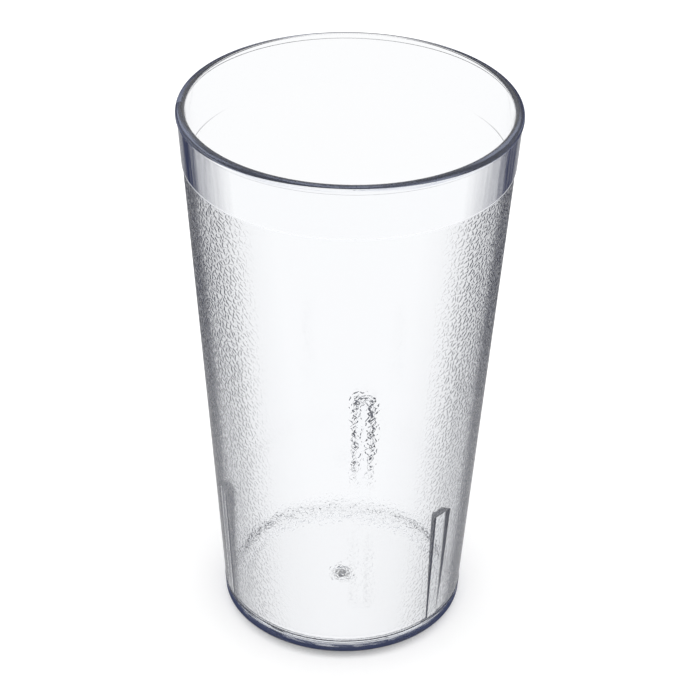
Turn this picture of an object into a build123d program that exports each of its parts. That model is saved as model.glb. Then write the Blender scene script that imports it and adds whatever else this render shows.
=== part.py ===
from build123d import *
from math import radians, tan
import os

# A clear stacking tumbler, moulded in one piece, in millimetres.
# It stands on its foot ring with the origin at the centre of that ring and +Z up through the mouth.
# The outside is turned from one profile. The inside is the shape of the mould's core: a tapered plug with
# three slots in its lower end, and each slot leaves a stacking lug on the inner wall.

# Overall body
height = 150.0
base_diameter = 65.9
rim_diameter = 87.5

# Rim bead and the smooth collar below it
bead_height = 1.8
bead_proud = 0.2
collar_height = 14.6
collar_proud = 0.27
collar_step_height = 0.3

# Walls
rim_wall = 2.35
base_wall = 2.3
rim_round = 1.3
mouth_chamfer = 0.6

# Foot
foot_height = 3.4
foot_proud = 0.12
foot_step_height = 0.3
foot_chamfer = 0.9

# Floor and the recess under it
recess_depth = 0.85
floor_thickness = 1.8
floor_chamfer = 0.9
ring_width = 5.6
recess_chamfer = 0.3

# Gate mark in the middle of the recess
gate_diameter = 6.0
gate_depth = 0.4
gate_nub_diameter = 1.6
gate_nub_height = 0.5

# Stacking lugs on the inner wall
lug_count = 3
lug_start_angle = -40.0
lug_top = 40.0
lug_nose_width = 4.8
lug_depth = 1.9
lug_flank_angle = 24.0
lug_nose_draft = 1.4
lug_nose_chamfer = 0.5
lug_top_chamfer = 0.5

# How far a cutting shape runs past the surface that it opens
overrun = 4.0

# Places worked out from the sizes above
base_radius = base_diameter / 2
rim_radius = rim_diameter / 2
collar_top = height - bead_height
collar_bottom = height - collar_height
step_bottom = collar_bottom - collar_step_height
foot_step_top = foot_height + foot_step_height
wall_slope = (rim_radius - bead_proud - collar_proud - base_radius) / height
floor_level = recess_depth + floor_thickness
mouth_radius = rim_radius - rim_wall
core_base_radius = base_radius - base_wall
core_slope = (mouth_radius - core_base_radius) / height
recess_radius = base_radius - ring_width
gate_radius = gate_diameter / 2
gate_nub_radius = gate_nub_diameter / 2


def wall_radius(level):
    """Outer radius of the plain tapered wall at a height above the foot."""
    return base_radius + wall_slope * level


def core_radius(level):
    """Inner radius of the wall at a height above the foot."""
    return core_base_radius + core_slope * level


# One lug, standing on the floor level with its nose towards the axis along X
lug_rise = lug_top - floor_level
nose_top_radius = core_radius(lug_top) - lug_depth
nose_floor_radius = nose_top_radius - lug_rise * tan(radians(lug_nose_draft))
lug_back_radius = core_radius(lug_top) + overrun
lug_nose_half = lug_nose_width / 2


def lug_outline(nose_radius):
    """Plan of a lug: a blunt nose that widens along both flanks into the wall."""
    flank_half = lug_nose_half + (lug_back_radius - nose_radius) * tan(radians(lug_flank_angle))
    Polygon(
        (nose_radius, -lug_nose_half),
        (nose_radius, lug_nose_half),
        (lug_back_radius, flank_half),
        (lug_back_radius, -flank_half),
        align=None,
    )


with BuildPart() as lug:
    with BuildSketch(Plane.XY.offset(floor_level - overrun)) as lug_foot:
        lug_outline(nose_floor_radius - overrun * tan(radians(lug_nose_draft)))
        chamfer(lug_foot.vertices().group_by(Axis.X)[0], lug_nose_chamfer)
    with BuildSketch(Plane.XY.offset(lug_top)) as lug_head:
        lug_outline(nose_top_radius)
        chamfer(lug_head.vertices().group_by(Axis.X)[0], lug_nose_chamfer)
    loft()
    lug_head_edges = lug.faces().sort_by(Axis.Z)[-1].edges()
    chamfer(lug_head_edges.sort_by(Axis.X)[:-1], lug_top_chamfer)

# The space inside the tumbler, with a slot for each lug
with BuildPart() as core:
    with BuildSketch(Plane.XZ):
        with BuildLine():
            Polyline(
                (0, floor_level),
                (core_radius(floor_level), floor_level),
                (core_radius(height + overrun), height + overrun),
                (0, height + overrun),
                close=True,
            )
        make_face()
    revolve(axis=Axis.Z)
    chamfer(core.edges().group_by(Axis.Z)[0], floor_chamfer)
    with PolarLocations(0, lug_count, start_angle=lug_start_angle):
        add(lug.part, mode=Mode.SUBTRACT)

# The recess under the floor, with the gate mark in its middle
with BuildPart() as recess:
    with BuildSketch(Plane.XY.offset(-overrun)):
        Circle(recess_radius)
    extrude(amount=recess_depth + overrun)
    chamfer(recess.edges().group_by(Axis.Z)[-1], recess_chamfer)
    with BuildSketch(Plane.XY.offset(recess_depth)):
        Circle(gate_radius)
        Circle(gate_nub_radius, mode=Mode.SUBTRACT)
    extrude(amount=gate_depth)
    with BuildSketch(Plane.XY.offset(recess_depth)):
        Circle(gate_nub_radius)
    extrude(amount=gate_depth - gate_nub_height, mode=Mode.SUBTRACT)

# The turned outside, from the middle of the foot up to the rim, and the hollows cut from it
with BuildPart() as tumbler:
    with BuildSketch(Plane.XZ):
        with BuildLine():
            Polyline(
                (0, 0),
                (base_radius + foot_proud, 0),
                (wall_radius(foot_height) + foot_proud, foot_height),
                (wall_radius(foot_step_top), foot_step_top),
                (wall_radius(step_bottom), step_bottom),
                (wall_radius(collar_bottom) + collar_proud, collar_bottom),
                (wall_radius(collar_top) + collar_proud, collar_top),
                (rim_radius, collar_top),
                (rim_radius, height),
                (0, height),
                close=True,
            )
        make_face()
    revolve(axis=Axis.Z)
    chamfer(tumbler.edges().group_by(Axis.Z)[0], foot_chamfer)
    add(core.part, mode=Mode.SUBTRACT)
    add(recess.part, mode=Mode.SUBTRACT)
    rim_edges = tumbler.edges().group_by(Axis.Z)[-1].sort_by(SortBy.RADIUS)
    chamfer(rim_edges[0], mouth_chamfer)
    fillet(rim_edges[-1], rim_round)

tumbler.part.label = "tumbler"

os.makedirs("parts", exist_ok=True)
export_step(tumbler.part, "parts/tumbler.step")
print("volume", round(tumbler.part.volume), "box", tumbler.part.bounding_box())
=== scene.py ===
"""Looks of a clear stacking tumbler: a turned body with three lugs, its clear plastic and a plain white stage."""
from math import acos, asin, cos, pi, radians, sin, tan

import bpy
from mathutils import Matrix, Vector


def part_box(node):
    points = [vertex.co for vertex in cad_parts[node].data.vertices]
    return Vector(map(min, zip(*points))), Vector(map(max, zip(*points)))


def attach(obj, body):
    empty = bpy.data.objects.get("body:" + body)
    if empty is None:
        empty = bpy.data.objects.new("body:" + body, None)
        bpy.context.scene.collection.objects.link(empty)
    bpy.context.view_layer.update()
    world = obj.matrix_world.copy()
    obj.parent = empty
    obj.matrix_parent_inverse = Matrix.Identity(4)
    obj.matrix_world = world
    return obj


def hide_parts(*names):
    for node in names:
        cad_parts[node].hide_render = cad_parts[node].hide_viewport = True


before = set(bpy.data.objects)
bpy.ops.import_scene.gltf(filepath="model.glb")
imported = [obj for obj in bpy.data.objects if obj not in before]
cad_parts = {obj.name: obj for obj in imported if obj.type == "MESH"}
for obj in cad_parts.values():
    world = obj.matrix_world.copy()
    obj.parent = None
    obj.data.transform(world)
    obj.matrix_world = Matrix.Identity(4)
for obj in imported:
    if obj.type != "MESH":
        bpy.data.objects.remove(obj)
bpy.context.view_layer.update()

bl_info = {
    "name": "Clear Stacking Tumbler",
    "version": (1, 0, 0),
    "blender": (4, 5, 0),
    "location": "View3D > Sidebar > Tumbler",
    "description": "Builds a clear stacking tumbler with a pebbled wall on a white stage",
    "category": "Object",
}

NODE_LOW, NODE_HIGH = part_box("tumbler")
MM = 0.001
TUMBLER = "tumbler_clear"
WHITE = (1.0, 1.0, 1.0, 1.0)
BLACK = (0.0, 0.0, 0.0, 1.0)

# Ramps of painted shade: how far a face is turned away from the eye, and how dark it is painted there
POLISH_SHADE = (
    (0.4, 0.0), (0.47, 0.22), (0.55, 0.42), (0.62, 0.55), (0.66, 0.78), (0.72, 0.87), (0.8, 0.87), (0.86, 0.58),
    (0.93, 0.45), (1.0, 0.4),
)
GRAIN_SHADE = ((0.42, 0.0), (0.52, 0.2), (0.62, 0.46), (0.72, 0.68), (0.82, 0.86), (0.92, 0.95), (1.0, 0.95))
WALL_SHADE = (
    (0.26, 0.0), (0.36, 0.06), (0.42, 0.12), (0.48, 0.2), (0.55, 0.3), (0.63, 0.36), (0.69, 0.4), (0.78, 0.42),
    (0.88, 0.38), (1.0, 0.32),
)
RIM_SHADE = ((0.5, 0.0), (0.54, 0.1), (0.58, 0.6), (0.7, 0.9), (1.0, 0.95))
LUG_SHADE = ((0.4, 0.0), (0.52, 0.6), (0.7, 0.92), (1.0, 0.95))

# Steps along the rounds of the half section, and rings up its straight walls
SOFT_STEPS = 3
LIP_STEPS = 4
RECESS_STEPS = 5
ROUND_STEPS = 8
WIDE_STEPS = 10
OUTER_RINGS = 8
INNER_RINGS = 12

# Rounds of the recess's lip and of the bead's underside, in soft rounds
LIP_SHARE = 2.0
BEAD_SHARE = 0.7

# Shaping of the body and its lugs; a lug's foot sinks a third of the floor's thickness into it
MERGE_REACH = 0.001 * MM
LUG_SINK_PARTS = 3
SMOOTH_ANGLE = radians(33.0)
FLAT_WEIGHT = 100

# Outer wall, its grain and its painted shade; from here to the streaks, a mask rises from 0 to 1 between the two
# limits of a pair
OUTER_SKIN = (-0.5 * MM, -0.3 * MM)
GRAIN_START = (0.0, 0.4 * MM)
GRAIN_END = (-0.4 * MM, 0.0)
GRAIN_TURN = (0.3, 0.5)
WALL_FADE = (30.0 * MM, 110.0 * MM)

# Rim with its painted shade and painted sheen, and the painted shade in the crease under its bead
RIM_START = (-0.1 * MM, 0.0)
RIM_INSIDE = (-0.5 * MM, -0.3 * MM)
CREASE = (0.04 * MM, 0.14 * MM)
SHEEN = (0.45, 0.7)
SHEEN_START = (0.2 * MM, 0.5 * MM)
SHEEN_INSIDE = (-0.6 * MM, 0.0)

# Fine step under the collar, with its painted shade through the far wall and the painted highlight on its near edge
STEP_START = (-0.3 * MM, -0.1 * MM)
STEP_END = (0.4 * MM, 0.6 * MM)
FAR_STEP_START = (-0.05 * MM, 0.05 * MM)
FAR_STEP_END = (0.3 * MM, 0.4 * MM)
FAR_STEP_TURN = (0.14, 0.21)
LIT_EDGE_START = (0.15 * MM, 0.25 * MM)
LIT_EDGE_END = (0.5 * MM, 0.65 * MM)

# Lugs and their painted shade; their span is the cosine of the turn from a lug's middle, times the number of lugs
LUG_SPAN = (cos(radians(22.0)), cos(radians(19.0)))
LUG_STAND = (0.03 * MM, 0.1 * MM)
LUG_START = (0.0, 1.0 * MM)
LUG_END = (-0.5 * MM, 0.0)
LUG_FADE = (8.0 * MM, 20.0 * MM)
LUG_FLANK = (0.8, 0.99)
LUG_NOSE = (0.93, 0.995)

# Painted shade of the foot band and of the underside, and the eased side of the recess; the gate's reach is in shares
# of its radius
FOOT_END = (2.4 * MM, 3.5 * MM)
FOOT_RIPPLE = (0.45, 0.75)
GATE_REACH = (0.35, 0.95)
RECESS_SIDE = (0.4 * MM, 0.6 * MM)
RECESS_SIDE_END = (0.05 * MM, 0.15 * MM)
RECESS_EDGE = (0.1 * MM, 0.4 * MM)
RECESS_INSIDE = (0.0, 0.2 * MM)
UNDERSIDE_END = (0.1 * MM, 0.2 * MM)
FAR_SIDE = (-14.0 * MM, 2.0 * MM)

# Painted shade on faces that reflect all light inside
DEEP_START = (0.9 * MM, 2.7 * MM)
MIRROR = (0.5, 0.98)

# Streaks per metre, round the axis and up it, and how fast those of the foot lean
COLLAR_STREAK_RATE = (700.0, 45.0)
SHEEN_RATE = (30.0, 2200.0)
FOOT_RATE = (160.0, 700.0)
FOOT_LEAN = 500.0
STREAK_DETAIL = 2.0
WANDER_DETAIL = 1.0
MID_NOISE = 0.5
EVEN_BLEND = 0.5

# Floor, light and camera of the stage
FLOOR_STEPS = 96
FLOOR_RADIUS = 3.0
FLOOR_GAP = 0.05 * MM
CONTACT_SAMPLES = 8
LIGHT_BOUNCES = 12
GLOSSY_BOUNCES = 6
SENSOR_WIDTH = 36.0


def length(name, description, millimetres):
    """A size that a user may change, given here in millimetres."""
    return bpy.props.FloatProperty(
        name=name, description=description, default=millimetres * MM, min=0.0, precision=5, unit="LENGTH"
    )


def colour(name, description, value):
    """A colour that a user may change."""
    return bpy.props.FloatVectorProperty(
        name=name, description=description, default=value, size=len(value), min=0.0, max=1.0, subtype="COLOR"
    )


def share(name, description, value):
    """A plain number that a user may change."""
    return bpy.props.FloatProperty(name=name, description=description, default=value, min=0.0, precision=4)


class TumblerSizes(bpy.types.PropertyGroup):
    """Sizes of the body and of its lugs."""

    height: length("Height", "Foot to rim", NODE_HIGH[2] / MM)
    rim_diameter: length("Rim diameter", "Across the bead of the rim", (NODE_HIGH[0] - NODE_LOW[0]) / MM)
    base_diameter: length("Base diameter", "Across the tapered wall at the foot", 65.9)
    bead_height: length("Bead height", "Rim down to the underside of the bead", 1.8)
    bead_proud: length("Bead proud", "How far the bead stands out from the collar", 0.2)
    collar_height: length("Collar height", "Rim down to the end of the smooth collar", 14.6)
    collar_proud: length("Collar proud", "How far the collar stands out from the pebbled wall", 0.27)
    step_height: length("Step height", "Height of the slope under the collar and over the foot band", 0.3)
    rim_wall: length("Rim wall", "Thickness of the wall at the rim", 2.35)
    rim_outer_round: length("Rim outer round", "Round of the rim on the outside", 1.3)
    rim_inner_round: length("Rim inner round", "Round of the rim on the inside", 0.7)
    base_wall: length("Base wall", "Thickness of the wall at the foot", 2.3)
    foot_height: length("Foot height", "Height of the smooth foot band", 3.4)
    foot_proud: length("Foot proud", "How far the foot band stands out from the wall", 0.12)
    foot_round: length("Foot round", "Round of the edge that the tumbler stands on", 0.5)
    ring_width: length("Ring width", "Width of the standing ring", 5.6)
    recess_depth: length("Recess depth", "Depth of the recess under the floor", 0.85)
    recess_round: length("Recess round", "Round inside the edge of the recess", 0.35)
    floor_thickness: length("Floor thickness", "Thickness of the floor over the recess", 1.8)
    floor_round: length("Floor round", "Round where the floor meets the inner wall", 1.5)
    gate_diameter: length("Gate diameter", "Across the gate mark under the floor", 6.0)
    gate_depth: length("Gate depth", "Depth of the gate mark", 0.4)
    nub_diameter: length("Nub diameter", "Across the nub in the gate mark", 1.6)
    nub_height: length("Nub height", "Height of the nub in the gate mark", 0.5)
    edge_round: length("Edge round", "Soft round of the small moulded edges", 0.12)
    lug_top: length("Lug top", "Height of the lugs' flat tops above the foot", 40.0)
    lug_depth: length("Lug depth", "How far a lug stands out from the inner wall at its top", 1.9)
    lug_nose_width: length("Lug nose width", "Width of a lug's nose", 4.8)
    lug_root: length("Lug root", "How far a lug's back lies inside the wall", 1.1)
    lug_round: length("Lug round", "Round of the upright edges of a lug's nose", 1.6)
    lug_top_round: length("Lug top round", "Round of the edges of a lug's flat top", 0.4)
    lug_flank_angle: bpy.props.FloatProperty(
        name="Lug flank angle", description="Slope of a lug's flanks", default=radians(24.0), subtype="ANGLE"
    )
    lug_nose_draft: bpy.props.FloatProperty(
        name="Lug nose draft", description="Slope of a lug's nose", default=radians(1.4), subtype="ANGLE"
    )
    lug_first_angle: bpy.props.FloatProperty(
        name="First lug", description="Place of the first lug round the axis", default=radians(-40.0), subtype="ANGLE"
    )
    lug_count: bpy.props.IntProperty(name="Lugs", description="Number of lugs", default=3, min=1)
    lug_round_steps: bpy.props.IntProperty(
        name="Lug round steps", description="Steps along each upright round of a lug's nose", default=7, min=2
    )
    lug_nose_points: bpy.props.IntProperty(
        name="Lug nose points", description="Points across a lug's nose between its rounds", default=4, min=1
    )
    turn_steps: bpy.props.IntProperty(name="Turn steps", description="Steps round the axis", default=384, min=12)


class PlasticLook(bpy.types.PropertyGroup):
    """Finish of the clear plastic."""

    surface_tint: colour("Surface tint", "Colour of light that passes the surface", (1.0, 1.0, 1.0, 1.0))
    # Painted shade: the dark colour mixed into the pebbled wall where it is seen edge on
    edge_shade_tint: colour("Edge tint", "Colour of the pebbled wall seen edge on", (0.031, 0.034, 0.052, 1.0))
    # Painted shade: the dark blue colour mixed into the polished faces where they are seen edge on
    polished_shade_tint: colour("Rim tint", "Colour of the polished faces seen edge on", (0.028, 0.034, 0.074, 1.0))
    depth_tint: colour("Depth tint", "Colour that long ways through the plastic take on", (0.55, 0.66, 0.86, 1.0))
    depth_density: share("Depth density", "How fast the plastic takes that colour on, per metre", 22.0)
    gloss_roughness: share("Gloss roughness", "Roughness of the polished faces", 0.01)
    refraction: share("Refraction", "Index of refraction of the plastic", 1.57)
    pebble_size: length("Pebble size", "Mean width of a pebble in the grain", 1.45)
    wander_rate: share("Wander rate", "How often the net of pebbles strays, per pebble", 0.8)
    wander_reach: share("Wander reach", "How far the net of pebbles strays, in pebbles", 0.8)
    groove_width: length("Groove width", "Width of a groove's flank between the pebbles", 0.55)
    groove_depth: length("Groove depth", "Depth of the grooves between the pebbles", 0.24)
    near_bend: share("Near bend", "Share of the grooves' slope that bends light on its way in", 0.05)
    far_bend: share("Far bend", "Share of the grooves' slope that bends light on its way out", 0.04)
    upright_shade: share("Upright shade", "Share of the grooves' upright slope that shades them", 0.7)
    low_shade: share("Low shade", "Share of the wall's shade that is left near the foot", 0.6)
    # Streaks that vary the painted shade of the smooth collar
    streak_shade: share("Streak shade", "How far flow streaks change the shade of the smooth collar", 0.6)
    # Painted sheen: light streaks on the rim, and their colour
    painted_sheen: share("Streak light", "How far light streaks brighten the rim", 0.45)
    painted_sheen_tint: colour("Streak tint", "Colour of the light streaks on the rim", (0.37, 0.41, 0.54, 1.0))
    # Painted shade: a thin dark line in the crease under the bead
    crease_shade: share("Crease shade", "How dark the fine crease under the bead is", 0.75)
    step_ease: share("Step ease", "How far the fine step under the collar lets light straight through", 0.65)
    # Painted shade on the far side of the collar's step, and a painted highlight on its near edge
    far_step_shade: share("Far step shade", "How dark that step is where it is seen through the far wall", 0.95)
    step_light: share("Step light", "How far light catches on the edge of the collar", 0.7)
    highlight_tint: colour("Light tint", "Colour of that edge", (0.9, 0.91, 0.94, 1.0))
    # Painted shade on the flanks of the lugs
    flank_shade: share("Flank shade", "How dark the flanks of the lugs are", 0.96)
    # Painted shade: the band that the tumbler stands on is mixed dark blue, with lighter ripples in that shade
    foot_shade: share("Foot shade", "How dark the band is that the tumbler stands on", 0.95)
    foot_shade_tint: colour("Foot tint", "Colour of the band that the tumbler stands on", (0.05, 0.061, 0.118, 1.0))
    foot_streak: share("Foot streak", "How far flow streaks lighten that band", 0.35)
    gate_shade: share("Gate shade", "How dark the gate mark is", 0.8)
    # Painted shade in the recess under the floor and on the far part of its edge
    recess_shade: share("Recess shade", "How dark the recess under the floor is", 0.05)
    recess_edge_shade: share("Recess edge shade", "How dark the edge of that recess is", 0.2)
    recess_ease: share("Recess ease", "How far the side of the recess lets light straight through", 0.85)
    # Painted shade: a dark blue mixed in where a face reflects all light inside the plastic
    total_shade: share("Total shade", "How dark a face is that reflects all light inside the plastic", 0.72)
    trapped_shade_tint: colour("Total tint", "Colour of a face that reflects all light inside", (0.03, 0.043, 0.095, 1.0))


class StageLook(bpy.types.PropertyGroup):
    """The floor, the light and the camera."""

    floor_colour: colour("Floor colour", "Colour of the floor", (0.95, 0.95, 0.95, 1.0))
    floor_glow: share("Floor glow", "Light that the floor gives off by itself", 0.3)
    contact_reach: length("Contact reach", "How far the shade round the foot reaches", 4.0)
    contact_lean: share("Contact lean", "How far that shade looks up rather than back", 0.1)
    contact_low: share("Contact low", "Open share of the sky where that shade is full", 0.3)
    contact_high: share("Contact high", "Open share of the sky where that shade ends", 0.78)
    contact_shade: share("Contact shade", "How dark that shade is", 0.75)
    camera_place: bpy.props.FloatVectorProperty(
        name="Camera place", description="Where the camera stands", default=(0.0, -0.50726, 0.40379),
        precision=5, subtype="TRANSLATION", unit="LENGTH",
    )
    camera_pitch: bpy.props.FloatProperty(
        name="Camera pitch", description="How far the camera looks down", default=0.57235, precision=5, subtype="ANGLE"
    )
    camera_yaw: bpy.props.FloatProperty(
        name="Camera yaw", description="How far the camera looks to the right", default=0.00212, precision=5,
        subtype="ANGLE",
    )
    camera_roll: bpy.props.FloatProperty(
        name="Camera roll", description="How far the camera is turned to the left", default=0.01836, precision=5,
        subtype="ANGLE",
    )
    camera_lens: bpy.props.FloatProperty(
        name="Camera lens", description="Focal length in millimetres on a 36 mm sensor", default=116.0, min=1.0
    )


class NodeValue:
    """A value in a node tree: plain arithmetic on it adds Math nodes, and node() adds any other node."""

    def __init__(self, tree, socket=None):
        self.tree = tree
        self.socket = socket

    def node(self, kind, settings=None, links=None, output=0):
        """Add a node of one kind, make its settings, then fill its sockets with values or links."""
        made = self.tree.nodes.new(kind)
        for key, value in (settings or {}).items():
            if key == "stops":
                ramp = made.color_ramp
                while len(ramp.elements) < len(value):
                    ramp.elements.new(1.0)
                for element, (place, tone) in zip(ramp.elements, value):
                    element.position = place
                    element.color = tone
            else:
                setattr(made, key, value)
        for key, value in (links or {}).items():
            if isinstance(value, NodeValue):
                self.tree.links.new(value.socket, made.inputs[key])
            else:
                made.inputs[key].default_value = value
        return NodeValue(self.tree, made.outputs[output] if len(made.outputs) else None)

    def outputs(self, *names):
        """Outputs of the node that gave this value, by name."""
        return [NodeValue(self.tree, self.socket.node.outputs[name]) for name in names]

    def diffuse(self, tint):
        """A plain matt colour."""
        return self.node("ShaderNodeBsdfDiffuse", links={"Color": tuple(tint)})

    def mixed(self, factor, other):
        """This shader with a share of another."""
        return self.node("ShaderNodeMixShader", links={0: factor, 1: self, 2: other})

    def vector(self, operation, other, output=0):
        """One Vector Math node on this vector and another."""
        return self.node("ShaderNodeVectorMath", {"operation": operation}, {0: self, 1: other}, output)

    def scaled(self, factor):
        """This vector times a number."""
        return self.node("ShaderNodeVectorMath", {"operation": "SCALE"}, {0: self, "Scale": factor})

    def unit(self):
        """This vector at length 1."""
        return self.node("ShaderNodeVectorMath", {"operation": "NORMALIZE"}, {0: self})

    def size(self):
        """This value without its sign."""
        return self.maths("ABSOLUTE", self)

    def larger(self, other):
        """The larger of this value and another."""
        return self.maths("MAXIMUM", self, other)

    def maths(self, operation, *values):
        """One Math node on these values."""
        return self.node("ShaderNodeMath", {"operation": operation}, dict(enumerate(values)))

    def __add__(self, other):
        return self.maths("ADD", self, other)

    def __radd__(self, other):
        return self.maths("ADD", other, self)

    def __sub__(self, other):
        return self.maths("SUBTRACT", self, other)

    def __rsub__(self, other):
        return self.maths("SUBTRACT", other, self)

    def __mul__(self, other):
        return self.maths("MULTIPLY", self, other)

    def __rmul__(self, other):
        return self.maths("MULTIPLY", other, self)

    def __truediv__(self, other):
        return self.maths("DIVIDE", self, other)

    def smooth(self, low, high):
        """0 below low, 1 above high and a smooth rise between."""
        return self.node(
            "ShaderNodeMapRange",
            {"interpolation_type": "SMOOTHSTEP"},
            {"Value": self, "From Min": low, "From Max": high, "To Min": 0.0, "To Max": 1.0},
        )


def blank_material(name):
    """A new material with an empty node tree, and its output node."""
    material = bpy.data.materials.new(name)
    material.use_nodes = True
    material.node_tree.nodes.clear()
    output = material.node_tree.nodes.new("ShaderNodeOutputMaterial")
    return material, NodeValue(material.node_tree), output


def select_only(piece):
    """Leave one object selected and active."""
    bpy.ops.object.select_all(action="DESELECT")
    piece.select_set(True)
    bpy.context.view_layer.objects.active = piece


def wall_radius(sizes, level):
    """Outer radius of the plain tapered wall at a height above the foot."""
    base = sizes.base_diameter / 2
    top = sizes.rim_diameter / 2 - sizes.bead_proud - sizes.collar_proud
    return base + (top - base) * level / sizes.height


def core_radius(sizes, level):
    """Inner radius of the wall at a height above the foot."""
    base = sizes.base_diameter / 2 - sizes.base_wall
    mouth = sizes.rim_diameter / 2 - sizes.rim_wall
    return base + (mouth - base) * level / sizes.height


def corner_points(before, corner, after, radius, steps):
    """Points of the arc that rounds one corner of an outline."""
    corner = Vector(corner)
    towards = (Vector(before) - corner).normalized()
    away = (Vector(after) - corner).normalized()
    opening = acos(max(-1.0, min(1.0, towards.dot(away))))
    centre = corner + (towards + away).normalized() * (radius / sin(opening / 2))
    reach = radius / tan(opening / 2)
    first = corner + towards * reach - centre
    last = corner + away * reach - centre
    sweep = pi - opening
    points = []
    for step in range(steps + 1):
        part = step / steps
        points.append(centre + (first * sin((1 - part) * sweep) + last * sin(part * sweep)) / sin(sweep))
    return points


def body_outline(sizes):
    """The half section of the body, from the axis under the floor, up the outside and down the inside."""
    soft = sizes.edge_round
    base = sizes.base_diameter / 2
    rim = sizes.rim_diameter / 2
    mouth = rim - sizes.rim_wall
    recess = base - sizes.ring_width
    gate = sizes.gate_diameter / 2
    nub = sizes.nub_diameter / 2
    gate_top = sizes.recess_depth + sizes.gate_depth
    floor_level = sizes.recess_depth + sizes.floor_thickness
    band_top = sizes.foot_height + sizes.step_height
    collar_bottom = sizes.height - sizes.collar_height
    step_bottom = collar_bottom - sizes.step_height
    bead_bottom = sizes.height - sizes.bead_height
    corners = [
        (0.0, gate_top - sizes.nub_height, 0.0, 0),
        (nub, gate_top - sizes.nub_height, soft, SOFT_STEPS),
        (nub, gate_top, soft, SOFT_STEPS),
        (gate, gate_top, soft, SOFT_STEPS),
        (gate, sizes.recess_depth, soft, SOFT_STEPS),
        (recess, sizes.recess_depth, sizes.recess_round, RECESS_STEPS),
        (recess, 0.0, soft * LIP_SHARE, LIP_STEPS),
        (base + sizes.foot_proud, 0.0, sizes.foot_round, ROUND_STEPS),
        (wall_radius(sizes, sizes.foot_height) + sizes.foot_proud, sizes.foot_height, soft, SOFT_STEPS),
        (wall_radius(sizes, band_top), band_top, soft, SOFT_STEPS),
    ]
    for ring in range(1, OUTER_RINGS):
        level = band_top + (step_bottom - band_top) * ring / OUTER_RINGS
        corners.append((wall_radius(sizes, level), level, 0.0, 0))
    corners += [
        (wall_radius(sizes, step_bottom), step_bottom, soft, SOFT_STEPS),
        (wall_radius(sizes, collar_bottom) + sizes.collar_proud, collar_bottom, soft, SOFT_STEPS),
        (wall_radius(sizes, bead_bottom) + sizes.collar_proud, bead_bottom, soft * BEAD_SHARE, SOFT_STEPS),
        (rim, bead_bottom, soft * BEAD_SHARE, SOFT_STEPS),
        (rim, sizes.height, sizes.rim_outer_round, WIDE_STEPS),
        (mouth, sizes.height, sizes.rim_inner_round, ROUND_STEPS),
    ]
    for ring in range(1, INNER_RINGS):
        level = sizes.height + (floor_level - sizes.height) * ring / INNER_RINGS
        corners.append((core_radius(sizes, level), level, 0.0, 0))
    corners += [
        (core_radius(sizes, floor_level), floor_level, sizes.floor_round, WIDE_STEPS),
        (0.0, floor_level, 0.0, 0),
    ]
    points = []
    for index, (radius, level, turn, steps) in enumerate(corners):
        if steps == 0:
            points.append(Vector((radius, level)))
        else:
            points += corner_points(corners[index - 1][:2], (radius, level), corners[index + 1][:2], turn, steps)
    return points


def lug_plan(sizes, front, back, inset):
    """A lug's plan, drawn in all round: both ends of its back, and points over its rounded corners and nose."""
    half = sizes.lug_nose_width / 2
    flank = sizes.lug_flank_angle
    back_half = half + (back - front) * tan(flank) - inset / cos(flank)
    nose = front + inset
    nose_half = half + inset * (tan(flank) - 1 / cos(flank))
    corner = (nose * cos(nose_half / nose), -nose * sin(nose_half / nose))
    bend = corner_points((back, -back_half), corner, (nose, 0.0), sizes.lug_round - inset, sizes.lug_round_steps)
    reach = asin(-bend[-1].y / nose)
    points = list(bend)
    for step in range(1, sizes.lug_nose_points + 1):
        turn = reach * (2 * step / (sizes.lug_nose_points + 1) - 1)
        points.append(Vector((nose * cos(turn), nose * sin(turn))))
    points += [Vector((point.x, -point.y)) for point in reversed(bend)]
    return back_half, points


class TUMBLER_OT_turn_body(bpy.types.Operator):
    """Draw the half section of the tumbler and turn it round the axis"""

    bl_idname = "tumbler.turn_body"
    bl_label = "Turn Body"

    def execute(self, context):
        sizes = context.scene.tumbler_sizes
        points = body_outline(sizes)
        bpy.ops.object.select_all(action="DESELECT")
        bpy.ops.mesh.primitive_plane_add(size=sizes.nub_diameter)
        body = context.object
        body.name = TUMBLER
        body.data.name = TUMBLER
        bpy.ops.object.mode_set(mode="EDIT")
        bpy.ops.mesh.select_all(action="SELECT")
        bpy.ops.mesh.merge(type="CENTER")
        bpy.ops.transform.translate(value=(points[0].x, 0.0, points[0].y))
        for here, there in zip(points, points[1:]):
            move = there - here
            bpy.ops.mesh.extrude_vertices_move(TRANSFORM_OT_translate={"value": (move.x, 0.0, move.y)})
        bpy.ops.mesh.select_all(action="SELECT")
        bpy.ops.mesh.spin(
            steps=sizes.turn_steps, angle=2 * pi, center=(0.0, 0.0, 0.0), axis=(0.0, 0.0, 1.0), use_auto_merge=False
        )
        bpy.ops.mesh.select_all(action="SELECT")
        bpy.ops.mesh.remove_doubles(threshold=MERGE_REACH)
        bpy.ops.mesh.normals_make_consistent(inside=False)
        bpy.ops.object.mode_set(mode="OBJECT")
        return {"FINISHED"}


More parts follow.
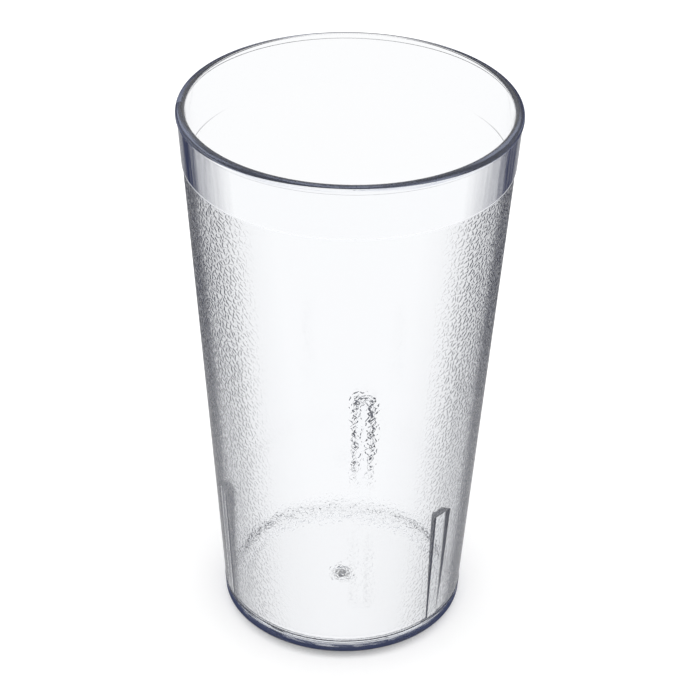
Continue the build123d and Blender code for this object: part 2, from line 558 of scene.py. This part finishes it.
class TUMBLER_OT_add_lugs(bpy.types.Operator):
    """Shape one stacking lug, copy it round the axis and join the lugs to the inner wall"""

    bl_idname = "tumbler.add_lugs"
    bl_label = "Add Stacking Lugs"

    def execute(self, context):
        sizes = context.scene.tumbler_sizes
        body = bpy.data.objects[TUMBLER]
        for turn in range(sizes.lug_count):
            lug = self.shape_lug(context, sizes)
            lug.rotation_euler.z = sizes.lug_first_angle + 2 * pi * turn / sizes.lug_count
            bpy.ops.object.transform_apply(location=True, rotation=True, scale=True)
            select_only(body)
            joint = body.modifiers.new("lug", "BOOLEAN")
            joint.operation = "UNION"
            joint.solver = "EXACT"
            joint.object = lug
            bpy.ops.object.modifier_apply(modifier=joint.name)
            bpy.data.objects.remove(lug)
        select_only(body)
        bpy.ops.object.shade_smooth_by_angle(angle=SMOOTH_ANGLE)
        flat = body.modifiers.new("flat_faces", "WEIGHTED_NORMAL")
        flat.mode = "FACE_AREA"
        flat.weight = FLAT_WEIGHT
        flat.keep_sharp = True
        bpy.ops.object.modifier_apply(modifier=flat.name)
        return {"FINISHED"}

    def shape_lug(self, context, sizes):
        """One lug along X: a block whose corners are drawn to their places, with its free edges rounded."""
        floor_level = sizes.recess_depth + sizes.floor_thickness
        low = floor_level - sizes.floor_thickness / LUG_SINK_PARTS
        nose_top = core_radius(sizes, sizes.lug_top) - sizes.lug_depth
        bpy.ops.object.select_all(action="DESELECT")
        bpy.ops.mesh.primitive_cube_add(size=2.0)
        lug = context.object
        bpy.ops.object.mode_set(mode="EDIT")
        bpy.ops.mesh.select_mode(type="EDGE")
        bpy.ops.mesh.select_all(action="DESELECT")
        bpy.ops.object.mode_set(mode="OBJECT")
        columns = 2 * sizes.lug_round_steps + sizes.lug_nose_points + 1
        rows = sizes.lug_round_steps + 1
        for axis, parts in ((1, columns), (2, rows)):
            for edge in lug.data.edges:
                ends = [lug.data.vertices[index].co for index in edge.vertices]
                edge.select = abs(ends[0][axis] - ends[1][axis]) > 1.0
            bpy.ops.object.mode_set(mode="EDIT")
            bpy.ops.mesh.subdivide(number_cuts=parts - 1)
            bpy.ops.mesh.select_all(action="DESELECT")
            bpy.ops.object.mode_set(mode="OBJECT")
        for vertex in lug.data.vertices:
            row = round((vertex.co.z + 1) / 2 * rows)
            column = round((vertex.co.y + 1) / 2 * columns)
            lift = pi / 2 * max(0, row - 1) / (rows - 1)
            level = sizes.lug_top - sizes.lug_top_round * (1 - sin(lift)) if row else low
            front = nose_top - (sizes.lug_top - level) * tan(sizes.lug_nose_draft)
            back = core_radius(sizes, level) + sizes.lug_root
            back_half, nose_points = lug_plan(sizes, front, back, sizes.lug_top_round * (1 - cos(lift)))
            if vertex.co.x < 0:
                vertex.co = (nose_points[column].x, nose_points[column].y, level)
            else:
                vertex.co = (back, vertex.co.y * back_half, level)
        bpy.ops.object.mode_set(mode="EDIT")
        bpy.ops.mesh.select_all(action="SELECT")
        bpy.ops.mesh.normals_make_consistent(inside=False)
        bpy.ops.object.mode_set(mode="OBJECT")
        return lug


class Spot:
    """The place that is shaded, in node values: where it lies on the tumbler and how its face is turned."""

    def __init__(self, tree, sizes):
        place = tree.node("ShaderNodeTexCoord", output="Object")
        axes = tree.node("ShaderNodeSeparateXYZ", links={0: place})
        self.across, self.along, self.level = axes.outputs("X", "Y", "Z")
        self.radius = tree.maths("SQRT", self.across * self.across + self.along * self.along)
        base = sizes.base_diameter / 2
        self.slope = (wall_radius(sizes, sizes.height) - base) / sizes.height
        self.outside = (self.radius - (base + self.slope * self.level)).smooth(*OUTER_SKIN)
        self.turn = tree.maths("ARCTAN2", self.along, self.across)
        self.around = self.turn * (base + self.slope * sizes.height / 2)
        self.plain, self.within = tree.node("ShaderNodeNewGeometry").outputs("Normal", "Backfacing")
        self.entered = 1 - self.within
        self.outwards = tree.node(
            "ShaderNodeCombineXYZ", links={0: self.across / self.radius, 1: self.along / self.radius, 2: 0.0}
        )
        self.square = self.plain.vector("DOT_PRODUCT", self.outwards, output="Value")
        self.over_step = self.level - (sizes.height - sizes.collar_height - sizes.step_height)
        self.over_floor = self.level - (sizes.recess_depth + sizes.floor_thickness)
        self.over_crease = self.level - (sizes.height - sizes.bead_height)
        self.from_recess = self.radius - (base - sizes.ring_width)
        self.from_rim_middle = self.radius - (sizes.rim_diameter - sizes.rim_wall) / 2


class TUMBLER_OT_clear_plastic(bpy.types.Operator):
    """Give the tumbler its clear plastic, polished on the rim, foot and inside and pebbled on the outer wall"""

    bl_idname = "tumbler.clear_plastic"
    bl_label = "Clear Plastic"

    def execute(self, context):
        sizes = context.scene.tumbler_sizes
        look = context.scene.tumbler_plastic
        material, tree, output = blank_material("clear_pebbled_plastic")
        spot = Spot(tree, sizes)
        band_top = sizes.foot_height + sizes.step_height
        pebbled = spot.outside * (spot.level - band_top).smooth(*GRAIN_START)
        pebbled = pebbled * (1 - spot.over_step.smooth(*GRAIN_END))
        grain_shade, ripple = self.grain(tree, look, spot)
        on_lug, lug_flank, lug_edge = self.lug_shades(tree, sizes, look, spot)
        eased = self.eased_normal(tree, sizes, look, spot)
        smooth_shade = self.smooth_shade(tree, sizes, look, spot, eased).larger(lug_edge * spot.entered)
        far_step, lit_edge = self.step_lines(tree, look, spot)
        # Painted dark blue shade on the lugs' flanks, the far side of the collar's step and the underside
        painted_shade = lug_flank.larger(far_step.larger(self.underside_shade(sizes, look, spot)))
        mirror_shade = self.inner_mirror(tree, sizes, look, spot, on_lug)
        sheen = self.rim_sheen(tree, look, spot)
        foot = self.painted_foot_shade(tree, look, spot)
        polished = self.clear_face(tree, look, look.polished_shade_tint, mirror_shade, smooth_shade, painted_shade, eased)
        # Mix in the painted sheen on the rim, the painted shade on the foot band and the painted highlight on the
        # collar's edge
        for factor, tint in ((sheen, look.painted_sheen_tint), (foot, look.foot_shade_tint), (lit_edge, look.highlight_tint)):
            polished = polished.mixed(factor, tree.diffuse(tint))
        grained = self.clear_face(tree, look, look.edge_shade_tint, mirror_shade, grain_shade, 0.0, ripple)
        plastic = polished.mixed(pebbled, grained)
        depth = tree.node(
            "ShaderNodeVolumeAbsorption",
            links={"Color": tuple(look.depth_tint), "Density": look.depth_density},
        )
        tree.tree.links.new(plastic.socket, output.inputs["Surface"])
        tree.tree.links.new(depth.socket, output.inputs["Volume"])
        body = bpy.data.objects[TUMBLER]
        body.data.materials.clear()
        body.data.materials.append(material)
        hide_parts("tumbler")
        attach(body, "root")
        return {"FINISHED"}

    def grain(self, tree, look, spot):
        """The pebbled wall: its painted shade, darker where it is seen edge on, and the normal that bends light there.
        """
        wall_place = tree.node("ShaderNodeCombineXYZ", links={0: spot.around, 1: spot.level})
        wander = tree.node(
            "ShaderNodeTexNoise", {"noise_dimensions": "2D"},
            {"Vector": wall_place, "Scale": look.wander_rate / look.pebble_size, "Detail": WANDER_DETAIL},
            output="Color",
        )
        shift = wander.vector("SUBTRACT", (MID_NOISE, MID_NOISE, MID_NOISE))
        grain_place = wall_place.vector("ADD", shift.scaled(look.wander_reach * look.pebble_size))
        edge = tree.node(
            "ShaderNodeTexVoronoi", {"feature": "DISTANCE_TO_EDGE", "voronoi_dimensions": "2D"},
            {"Vector": grain_place, "Scale": 1.0 / look.pebble_size},
        )
        plateau = edge.smooth(0.0, look.groove_width / look.pebble_size)
        flank = tree.node(
            "ShaderNodeBump", links={"Strength": 1.0, "Distance": look.groove_depth, "Height": plateau}
        )
        bend = look.near_bend + (look.far_bend - look.near_bend) * spot.within
        ripple = spot.plain.vector("ADD", flank.vector("SUBTRACT", spot.plain).scaled(bend)).unit()
        sideways = flank.vector("MULTIPLY", (1.0, 1.0, look.upright_shade)).unit()
        fade = look.low_shade + (1.0 - look.low_shade) * spot.level.smooth(*WALL_FADE)
        shade = self.edge_on(tree, GRAIN_SHADE, sideways)
        shade = shade * self.facing(tree).smooth(*GRAIN_TURN) * fade
        return shade.larger(self.edge_on(tree, WALL_SHADE)) * spot.entered, ripple

    def lug_shades(self, tree, sizes, look, spot):
        """Where the lugs stand round the axis, and the painted shade on their flanks and on the rounds of their noses.
        """
        lug_turn = tree.maths("COSINE", (spot.turn - sizes.lug_first_angle) * float(sizes.lug_count))
        on_lug = lug_turn.smooth(*LUG_SPAN)
        core_base = core_radius(sizes, 0.0)
        core_slope = (core_radius(sizes, sizes.height) - core_base) / sizes.height
        stand = core_base + core_slope * spot.level - spot.radius
        face = on_lug * stand.smooth(*LUG_STAND) * spot.over_floor.smooth(*LUG_START)
        face = face * (1 - spot.entered * (1 - spot.level.smooth(*LUG_FADE)))
        squareness = spot.square.size()
        under_top = 1 - (spot.level - sizes.lug_top).smooth(*LUG_END)
        flank = face * (1 - squareness.smooth(*LUG_FLANK)) * under_top * look.flank_shade
        edge = self.edge_on(tree, LUG_SHADE) * face * (1 - squareness.smooth(*LUG_NOSE))
        return on_lug, flank, edge

    def eased_normal(self, tree, sizes, look, spot):
        """The normal of the polished faces, turned where a fine edge lets light straight through."""
        on_step = spot.outside * spot.over_step.smooth(*STEP_START) * (1 - spot.over_step.smooth(*STEP_END))
        wall = spot.outwards.vector("SUBTRACT", (0.0, 0.0, spot.slope)).scaled(tree.maths("SIGN", spot.square))
        to_wall = wall.vector("SUBTRACT", spot.plain).scaled(on_step * look.step_ease)
        recess_side = (1 - spot.from_recess.size().smooth(*RECESS_SIDE)) * spot.within
        recess_side = recess_side * (1 - spot.along.smooth(*FAR_SIDE))
        recess_side = recess_side * (1 - (spot.level - sizes.recess_depth).smooth(*RECESS_SIDE_END))
        upright = tree.node("ShaderNodeCombineXYZ", links={0: 0.0, 1: 0.0, 2: 1.0})
        to_upright = upright.vector("SUBTRACT", spot.plain).scaled(recess_side * look.recess_ease)
        return spot.plain.vector("ADD", to_wall).vector("ADD", to_upright).unit()

    def smooth_shade(self, tree, sizes, look, spot, eased):
        """Painted shade on the collar, the rim and the crease under the bead, the collar's shade varied in streaks."""
        shading = self.streaks(tree, spot.around * COLLAR_STREAK_RATE[0], spot.level * COLLAR_STREAK_RATE[1])
        collar = self.edge_on(tree, POLISH_SHADE, eased) * spot.outside
        collar = collar * (1 + (shading - MID_NOISE) * look.streak_shade)
        over_rim = spot.level - (sizes.height - sizes.rim_outer_round)
        on_rim = over_rim.smooth(*RIM_START) * spot.from_rim_middle.smooth(*RIM_INSIDE)
        rim = self.edge_on(tree, RIM_SHADE) * on_rim
        crease = (1 - spot.over_crease.size().smooth(*CREASE)) * spot.outside * look.crease_shade
        return collar.larger(rim).larger(crease) * spot.entered

    def rim_sheen(self, tree, look, spot):
        """How bright the painted sheen is: light streaks on the outer half of the rim."""
        sheen = self.streaks(tree, spot.around * SHEEN_RATE[0], spot.level * SHEEN_RATE[1]).smooth(*SHEEN)
        sheen = sheen * spot.entered * look.painted_sheen
        return sheen * spot.over_crease.smooth(*SHEEN_START) * spot.from_rim_middle.smooth(*SHEEN_INSIDE)

    def painted_foot_shade(self, tree, look, spot):
        """Painted shade, dark blue, on the band that the tumbler stands on, with lighter ripples in it."""
        leaning = spot.around * FOOT_RATE[0] + spot.level * FOOT_LEAN
        ripples = self.streaks(tree, leaning, spot.level * FOOT_RATE[1]).smooth(*FOOT_RIPPLE) * look.foot_streak
        return spot.outside * spot.entered * (1 - spot.level.smooth(*FOOT_END)) * (look.foot_shade - ripples)

    def step_lines(self, tree, look, spot):
        """The fine step under the collar: its painted shade through the far wall, and the painted highlight on its
        near edge.
        """
        far = spot.outside * spot.over_step.smooth(*FAR_STEP_START) * (1 - spot.over_step.smooth(*FAR_STEP_END))
        far = far * spot.within * self.facing(tree).smooth(*FAR_STEP_TURN) * look.far_step_shade
        near = spot.outside * spot.over_step.smooth(*LIT_EDGE_START) * (1 - spot.over_step.smooth(*LIT_EDGE_END))
        return far, near * spot.entered * look.step_light

    def underside_shade(self, sizes, look, spot):
        """How dark the underside is painted: a dark gate mark, and painted shade in the recess and on the far part of
        the recess's edge.
        """
        gate = (1 - (spot.radius / (sizes.gate_diameter / 2)).smooth(*GATE_REACH)) * look.gate_shade
        edge = (1 - spot.from_recess.size().smooth(*RECESS_EDGE)) * spot.along.smooth(*FAR_SIDE)
        recess = (1 - spot.from_recess.smooth(*RECESS_INSIDE)) * look.recess_shade
        shade = gate.larger((edge * look.recess_edge_shade).larger(recess))
        return shade * (1 - (spot.level - (sizes.recess_depth + sizes.gate_depth)).smooth(*UNDERSIDE_END))

    def inner_mirror(self, tree, sizes, look, spot, on_lug):
        """Painted shade on a face that reflects all light; the outside and the floor's corner get it at a second
        reflection.
        """
        corner = (1 - spot.over_floor.smooth(0.0, sizes.floor_round)) * (1 - on_lug)
        (bounces,) = tree.node("ShaderNodeLightPath").outputs("Glossy Depth")
        lasting = (1 - corner.larger(spot.outside)).larger(bounces.smooth(0.0, 1.0))
        return spot.within * look.total_shade * lasting * spot.level.smooth(*DEEP_START)

    def streaks(self, tree, across, along):
        """Soft streaks, drawn out along the axis of the two that changes less."""
        place = tree.node("ShaderNodeCombineXYZ", links={0: across, 1: along})
        return tree.node(
            "ShaderNodeTexNoise", {"noise_dimensions": "2D"},
            {"Vector": place, "Scale": 1.0, "Detail": STREAK_DETAIL},
        )

    def facing(self, tree, normal=None):
        """How far a face is turned away from the eye: 0 for one seen square on and 1 for one seen edge on."""
        turned = {"Normal": normal} if normal else {}
        return tree.node("ShaderNodeLayerWeight", links={"Blend": EVEN_BLEND, **turned}, output="Facing")

    def edge_on(self, tree, stops, normal=None):
        """How dark a face's painted shade is, by how far the face is turned away from the eye."""
        tones = tuple((place, (tone, tone, tone, 1.0)) for place, tone in stops)
        return tree.node("ShaderNodeValToRGB", {"stops": tones}, {0: self.facing(tree, normal)})

    def clear_face(self, tree, look, tint, mirror_shade, shade, painted_shade, normal):
        """A clear surface with its normal and painted shade: its shade colour by its shade, and dark blue where it
        reflects all light inside or where other painted shade lies.
        """
        clear = tree.node(
            "ShaderNodeBsdfPrincipled",
            links={
                "Base Color": tuple(look.surface_tint),
                "Roughness": look.gloss_roughness,
                "IOR": look.refraction,
                "Transmission Weight": 1.0,
                "Normal": normal,
            },
        )
        mirror = tree.node("ShaderNodeFresnel", links={"IOR": look.refraction, "Normal": normal})
        total = (mirror.smooth(*MIRROR) * mirror_shade).larger(painted_shade)
        return clear.mixed(shade, tree.diffuse(tint)).mixed(total, tree.diffuse(look.trapped_shade_tint))


class TUMBLER_OT_stage(bpy.types.Operator):
    """Lay the floor, light it and set the camera at the photographed angle"""

    bl_idname = "tumbler.stage"
    bl_label = "Stage"

    def execute(self, context):
        look = context.scene.tumbler_stage
        self.lay_floor(context, look)
        self.light(context)
        self.place_camera(context, look)
        scene = context.scene
        scene.view_settings.view_transform = "Standard"
        scene.cycles.max_bounces = LIGHT_BOUNCES
        scene.cycles.transmission_bounces = LIGHT_BOUNCES
        scene.cycles.glossy_bounces = GLOSSY_BOUNCES
        return {"FINISHED"}

    def lay_floor(self, context, look):
        """A wide floor just under the foot, with a painted contact shadow round it."""
        bpy.ops.object.select_all(action="DESELECT")
        bpy.ops.mesh.primitive_circle_add(
            vertices=FLOOR_STEPS, radius=FLOOR_RADIUS, fill_type="NGON", location=(0.0, 0.0, 0.0)
        )
        floor = context.object
        floor.name = "floor"
        bpy.ops.object.mode_set(mode="EDIT")
        bpy.ops.mesh.select_all(action="SELECT")
        bpy.ops.transform.translate(value=(0.0, 0.0, -FLOOR_GAP))
        bpy.ops.object.mode_set(mode="OBJECT")
        material, tree, output = blank_material("white_floor")
        paper = tree.diffuse(look.floor_colour)
        glow = tree.node("ShaderNodeEmission", links={"Color": WHITE, "Strength": look.floor_glow})
        lit = tree.node("ShaderNodeAddShader", links={0: paper, 1: glow})
        # Painted contact shadow: the floor darkens where an ambient-occlusion test, leaning towards the back, finds
        # the tumbler close by
        from_behind = tree.node("ShaderNodeCombineXYZ", links={0: 0.0, 1: 1.0, 2: look.contact_lean})
        open_sky = tree.node(
            "ShaderNodeAmbientOcclusion", {"samples": CONTACT_SAMPLES},
            {"Distance": look.contact_reach, "Normal": from_behind}, output="AO",
        )
        clear = 1 - (1 - open_sky.smooth(look.contact_low, look.contact_high)) * look.contact_shade
        lit = tree.diffuse(BLACK).mixed(clear, lit)
        glossy, passed = tree.node("ShaderNodeLightPath").outputs("Is Glossy Ray", "Is Transmission Ray")
        seen = tree.node("ShaderNodeEmission", links={"Color": WHITE, "Strength": 1.0})
        both = lit.mixed(glossy.larger(passed), seen)
        tree.tree.links.new(both.socket, output.inputs["Surface"])
        floor.data.materials.append(material)

    def light(self, context):
        """A soft sky."""
        world = bpy.data.worlds.new("soft_studio")
        context.scene.world = world
        world.use_nodes = True
        world.node_tree.nodes.clear()
        tree = NodeValue(world.node_tree)
        sky = tree.node("ShaderNodeBackground", links={"Color": WHITE, "Strength": 1.0})
        output = world.node_tree.nodes.new("ShaderNodeOutputWorld")
        world.node_tree.links.new(sky.socket, output.inputs["Surface"])

    def place_camera(self, context, look):
        """The camera, from its place and its three turns."""
        data = bpy.data.cameras.new("camera")
        camera = bpy.data.objects.new("camera", data)
        context.collection.objects.link(camera)
        ahead = Vector((
            sin(look.camera_yaw) * cos(look.camera_pitch),
            cos(look.camera_yaw) * cos(look.camera_pitch),
            -sin(look.camera_pitch),
        ))
        right = Vector((cos(look.camera_yaw), -sin(look.camera_yaw), 0.0))
        up = right.cross(ahead)
        rolled_right = right * cos(look.camera_roll) + up * sin(look.camera_roll)
        rolled_up = up * cos(look.camera_roll) - right * sin(look.camera_roll)
        turn = Matrix((rolled_right, rolled_up, -ahead)).transposed()
        camera.matrix_world = Matrix.Translation(look.camera_place) @ turn.to_4x4()
        data.sensor_width = SENSOR_WIDTH
        data.lens = look.camera_lens
        context.scene.camera = camera


class TUMBLER_PT_panel(bpy.types.Panel):
    """Sizes, looks and steps of the tumbler"""

    bl_idname = "TUMBLER_PT_panel"
    bl_label = "Tumbler"
    bl_space_type = "VIEW_3D"
    bl_region_type = "UI"
    bl_category = "Tumbler"

    def draw(self, context):
        for group in (context.scene.tumbler_sizes, context.scene.tumbler_plastic, context.scene.tumbler_stage):
            box = self.layout.box()
            for name in group.__annotations__:
                box.prop(group, name)
        for step in STEPS:
            self.layout.operator(step.bl_idname)


STEPS = (TUMBLER_OT_turn_body, TUMBLER_OT_add_lugs, TUMBLER_OT_clear_plastic, TUMBLER_OT_stage)
CLASSES = (TumblerSizes, PlasticLook, StageLook) + STEPS + (TUMBLER_PT_panel,)


def register():
    for each in CLASSES:
        bpy.utils.register_class(each)
    bpy.types.Scene.tumbler_sizes = bpy.props.PointerProperty(type=TumblerSizes)
    bpy.types.Scene.tumbler_plastic = bpy.props.PointerProperty(type=PlasticLook)
    bpy.types.Scene.tumbler_stage = bpy.props.PointerProperty(type=StageLook)


def unregister():
    del bpy.types.Scene.tumbler_stage
    del bpy.types.Scene.tumbler_plastic
    del bpy.types.Scene.tumbler_sizes
    for each in reversed(CLASSES):
        bpy.utils.unregister_class(each)


def main():
    register()
    bpy.ops.tumbler.turn_body()
    bpy.ops.tumbler.add_lugs()
    bpy.ops.tumbler.clear_plastic()
    bpy.ops.tumbler.stage()


if __name__ == "__main__":
    main()
